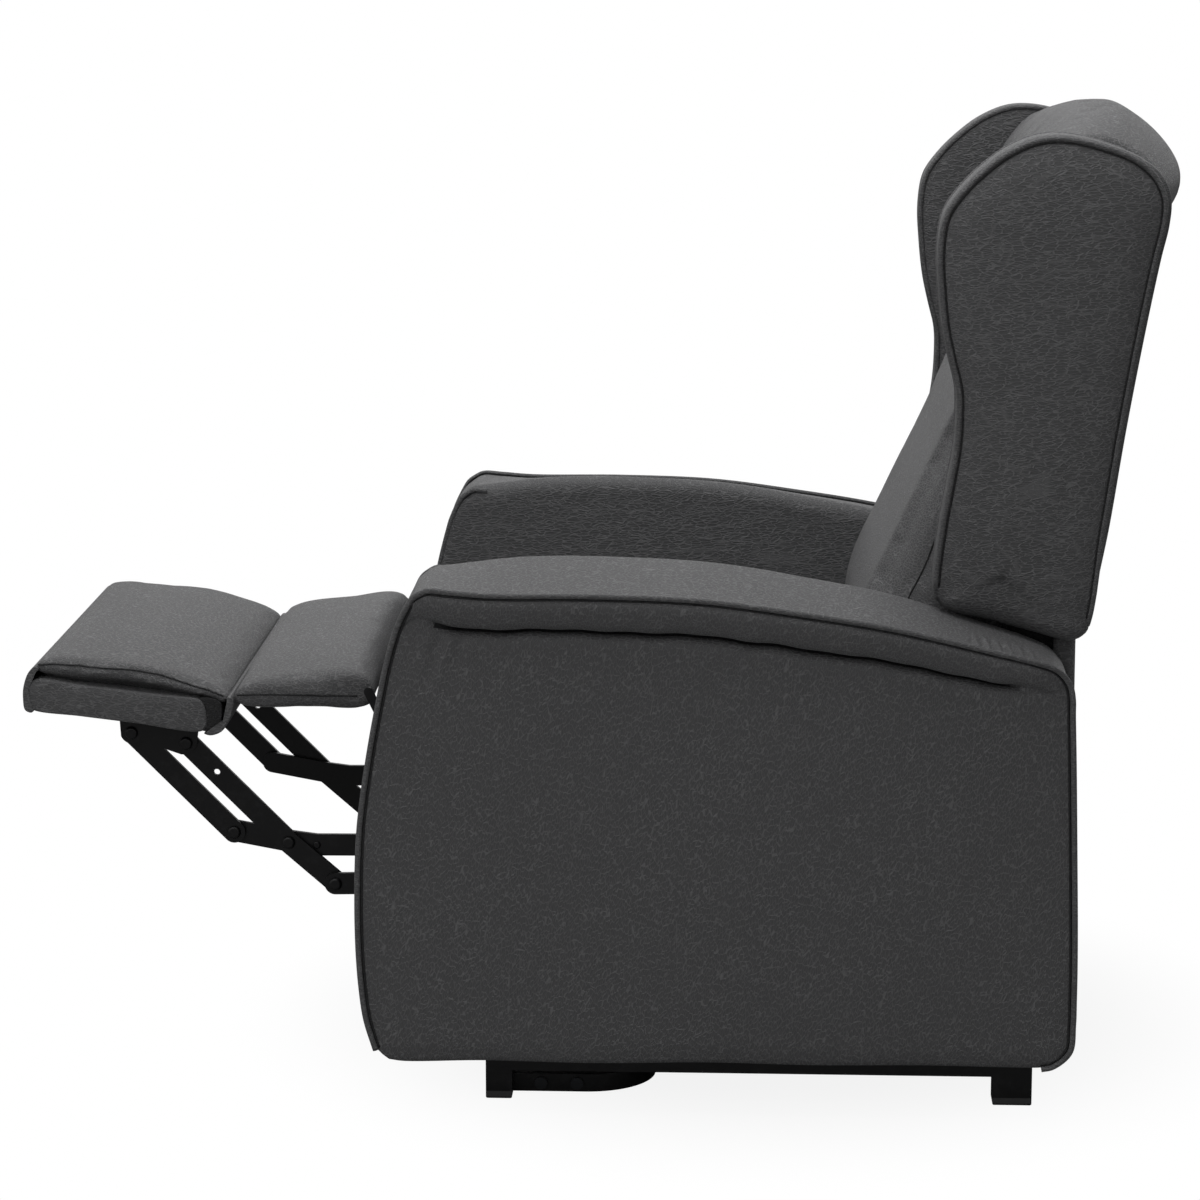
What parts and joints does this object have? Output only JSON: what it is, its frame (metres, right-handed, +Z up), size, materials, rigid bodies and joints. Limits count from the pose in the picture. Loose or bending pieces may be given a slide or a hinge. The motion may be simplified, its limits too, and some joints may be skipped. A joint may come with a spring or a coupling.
{
  "type": "power lift recliner",
  "caption": "Winged power lift recliner with crowned arms, an unfolding linkage footrest with a calf pad, a reclining back and a low tilting lift base.",
  "frame": {"origin": "middle of the floor print of the whole chair with the footrest out, at floor level", "axes": "+Z up, the sitter faces -Y, +X is the sitter's left side"},
  "size_m": [0.8066, 1.286, 1.0806],
  "materials": {
    "leatherette": "matt, wrinkle grain",
    "plywood": "raw",
    "webbing": "woven",
    "black_plastic": "moulded",
    "black_steel": "black powder coat",
    "zinc_steel": "zinc plated"
  },
  "bodies": {
    "base": {"base_rails": "black_steel", "base_foot_caps": "black_plastic", "base_rear_tube": "black_steel", "base_mid_tube": "black_steel", "base_front_bar": "black_steel", "base_bolts": "zinc_steel"},
    "rear_lift": {"rear_lift_links": "black_steel", "rear_lift_tube": "black_steel"},
    "front_lift": {"front_lift_links": "black_steel"},
    "chassis": {"left_side_plate": "black_steel", "right_side_plate": "black_steel", "chassis_front_tube": "black_steel", "chassis_rear_tube": "black_steel", "seat_frame": "plywood", "seat_webbing": "webbing", "seat_cushion": "leatherette", "calf_hinges": "black_steel", "left_arm_frame": "plywood", "right_arm_frame": "plywood", "left_arm_cover": "leatherette", "right_arm_cover": "leatherette", "left_arm_pad": "leatherette", "right_arm_pad": "leatherette", "rear_panel": "leatherette", "power_box": "black_plastic", "switch_panel": "black_plastic"},
    "drive_links": {"left_drive_link": "black_steel", "right_drive_link": "black_steel", "torque_tube": "black_steel"},
    "front_links": {"left_front_link": "black_steel", "right_front_link": "black_steel"},
    "rear_links": {"left_rear_link": "black_steel", "right_rear_link": "black_steel"},
    "lower_links": {"left_lower_link": "black_steel", "right_lower_link": "black_steel"},
    "footrest": {"footrest_board": "plywood", "footrest_base_cover": "leatherette", "footrest_cushion": "leatherette", "footrest_brackets": "black_steel"},
    "calf_pad": {"calf_board": "plywood", "calf_cushion": "leatherette"},
    "back": {"back_frame": "plywood", "back_webbing": "webbing", "back_cushion": "leatherette", "headrest_cushion": "leatherette", "left_wing": "leatherette", "right_wing": "leatherette", "back_rear_cover": "leatherette", "back_brackets": "black_steel", "back_torque_tube": "black_steel", "rear_skirt": "leatherette"},
    "lift_motor": {"lift_actuator_housing": "black_plastic"},
    "lift_rod": {"lift_actuator_rod": "zinc_steel"},
    "footrest_motor": {"footrest_actuator_housing": "black_plastic"},
    "footrest_rod": {"footrest_actuator_rod": "zinc_steel"},
    "back_motor": {"back_actuator_housing": "black_plastic"},
    "back_rod": {"back_actuator_rod": "zinc_steel"},
    "lift_switch": {"lift_rocker": "black_plastic"},
    "legs_switch": {"legs_rocker": "black_plastic"},
    "back_switch": {"back_rocker": "black_plastic"}
  },
  "joints": [
    {"name": "lift", "type": "hinge", "parent": "base", "child": "rear_lift", "pos_m": [0, 0.02751, 0.1], "axis": [1, 0, 0], "range_deg": [0, 45]},
    {"name": "lift_front_link", "type": "hinge", "parent": "base", "child": "front_lift", "pos_m": [0, -0.00349, 0.086], "axis": [1, 0, 0], "range_deg": [0, 52]},
    {"name": "lift_tilt", "type": "hinge", "parent": "rear_lift", "child": "chassis", "pos_m": [0, 0.36551, 0.128], "axis": [1, 0, 0], "range_deg": [-23, 0]},
    {"name": "footrest_fold", "type": "hinge", "parent": "chassis", "child": "drive_links", "pos_m": [0, -0.14749, 0.322], "axis": [1, 0, 0], "range_deg": [0, 95]},
    {"name": "lower_link_swing", "type": "hinge", "parent": "chassis", "child": "lower_links", "pos_m": [0, -0.09399, 0.2755], "axis": [1, 0, 0], "range_deg": [0, 95]},
    {"name": "rear_link_swing", "type": "hinge", "parent": "drive_links", "child": "rear_links", "pos_m": [0, -0.35999, 0.2475], "axis": [1, 0, 0], "range_deg": [-95, 0]},
    {"name": "front_link_swing", "type": "hinge", "parent": "drive_links", "child": "front_links", "pos_m": [0, -0.42199, 0.259], "axis": [1, 0, 0], "range_deg": [-95, 0]},
    {"name": "footrest_tilt", "type": "hinge", "parent": "rear_links", "child": "footrest", "pos_m": [0, -0.47449, 0.363], "axis": [1, 0, 0], "range_deg": [0, 95]},
    {"name": "calf_pad_fold", "type": "hinge", "parent": "chassis", "child": "calf_pad", "pos_m": [0, -0.25909, 0.44], "axis": [1, 0, 0], "range_deg": [0, 94]},
    {"name": "back_recline", "type": "hinge", "parent": "chassis", "child": "back", "pos_m": [0, 0.40251, 0.3], "axis": [-1, 0, 0], "range_deg": [0, 40]},
    {"name": "lift_motor_swing", "type": "hinge", "parent": "base", "child": "lift_motor", "pos_m": [0, 0.43951, 0.082], "axis": [1, 0, 0], "range_deg": [0, 1.98]},
    {"name": "lift_rod_slide", "type": "slide", "parent": "lift_motor", "child": "lift_rod", "axis": [0, -0.9722, 0.2343], "range_m": [0, 0.06048]},
    {"name": "footrest_motor_swing", "type": "hinge", "parent": "chassis", "child": "footrest_motor", "pos_m": [0, 0.28751, 0.335], "axis": [1, 0, 0], "range_deg": [0, 0.60847]},
    {"name": "footrest_rod_slide", "type": "slide", "parent": "footrest_motor", "child": "footrest_rod", "axis": [0, -0.9972, -0.0753], "range_m": [-0.04781, 0]},
    {"name": "back_motor_swing", "type": "hinge", "parent": "chassis", "child": "back_motor", "pos_m": [0, 0.00751, 0.335], "axis": [-1, 0, 0], "range_deg": [0, 2.22]},
    {"name": "back_rod_slide", "type": "slide", "parent": "back_motor", "child": "back_rod", "axis": [0, 0.9676, -0.2524], "range_m": [-0.05334, 0]},
    {"name": "lift_rocker_press", "type": "hinge", "parent": "chassis", "child": "lift_switch", "pos_m": [-0.3905, -0.00649, 0.47], "axis": [0, 0, 1], "range_deg": [-6, 6], "stiffness_Nm_per_rad": 0.25},
    {"name": "legs_rocker_press", "type": "hinge", "parent": "chassis", "child": "legs_switch", "pos_m": [-0.3905, 0.02751, 0.47], "axis": [0, 0, 1], "range_deg": [-6, 6], "stiffness_Nm_per_rad": 0.25},
    {"name": "back_rocker_press", "type": "hinge", "parent": "chassis", "child": "back_switch", "pos_m": [-0.3905, 0.06151, 0.47], "axis": [0, 0, 1], "range_deg": [-6, 6], "stiffness_Nm_per_rad": 0.25}
  ],
  "couplings": [
    {"joint": "lift_front_link", "follows": "lift", "ratio": 1.1323},
    {"joint": "lift_tilt", "follows": "lift", "ratio": -0.49586},
    {"joint": "lower_link_swing", "follows": "footrest_fold", "ratio": 1},
    {"joint": "rear_link_swing", "follows": "footrest_fold", "ratio": -1},
    {"joint": "front_link_swing", "follows": "footrest_fold", "ratio": -1},
    {"joint": "footrest_tilt", "follows": "footrest_fold", "ratio": 1},
    {"joint": "calf_pad_fold", "follows": "footrest_fold", "ratio": 0.9777},
    {"joint": "lift_motor_swing", "follows": "lift", "ratio": 0.0419},
    {"joint": "lift_rod_slide", "follows": "lift", "m_per_rad": 0.07625},
    {"joint": "footrest_motor_swing", "follows": "footrest_fold", "ratio": 0.0061},
    {"joint": "footrest_rod_slide", "follows": "footrest_fold", "m_per_rad": -0.02855},
    {"joint": "back_motor_swing", "follows": "back_recline", "ratio": 0.0528},
    {"joint": "back_rod_slide", "follows": "back_recline", "m_per_rad": -0.07564}
  ]
}
